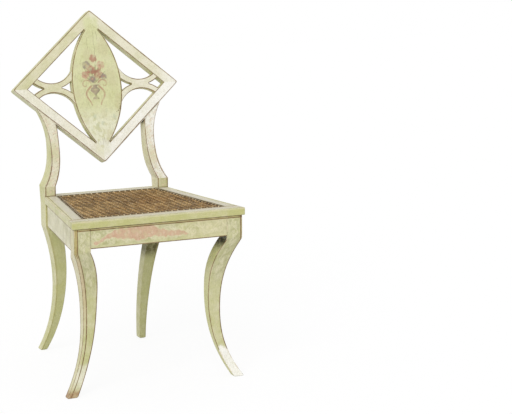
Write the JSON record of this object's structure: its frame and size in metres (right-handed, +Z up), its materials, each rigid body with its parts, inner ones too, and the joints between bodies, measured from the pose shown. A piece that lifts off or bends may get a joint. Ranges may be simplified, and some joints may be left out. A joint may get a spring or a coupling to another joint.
{
  "type": "side chair",
  "caption": "Painted neoclassical side chair with outswept legs, a caned seat and a lozenge back holding a pointed oval panel between pierced ribs",
  "frame": {"origin": "on the floor under the middle of the chair's bounding box", "axes": "+X to the right of a viewer who faces the chair's front, +Y from the front to the back, +Z up"},
  "size_m": [0.482, 0.5396, 0.9271],
  "materials": {
    "painted_wood": "aged pale celadon paint with a low sheen",
    "woven_cane": "natural woven cane, darkened with age",
    "bare_wood": "unfinished hardwood",
    "screw_steel": "dull steel"
  },
  "bodies": {
    "root": {"front_leg_left": "painted_wood", "front_leg_right": "painted_wood", "rear_leg_left": "painted_wood", "rear_leg_right": "painted_wood", "front_apron": "painted_wood", "back_apron": "painted_wood", "side_apron_left": "painted_wood", "side_apron_right": "painted_wood", "seat_rail_front": "painted_wood", "seat_rail_back": "painted_wood", "seat_rail_side_left": "painted_wood", "seat_rail_side_right": "painted_wood", "cane_seat": "woven_cane", "glue_block_front_left": "bare_wood", "glue_block_front_right": "bare_wood", "glue_block_rear_left": "bare_wood", "glue_block_rear_right": "bare_wood", "block_screws": "screw_steel", "seat_screws": "screw_steel", "lozenge_rail_upper_left": "painted_wood", "lozenge_rail_upper_right": "painted_wood", "lozenge_rail_lower_left": "painted_wood", "lozenge_rail_lower_right": "painted_wood", "vesica_panel": "painted_wood", "rib_fret_left": "painted_wood", "rib_fret_right": "painted_wood", "corner_tongues": "bare_wood"}
  },
  "joints": []
}
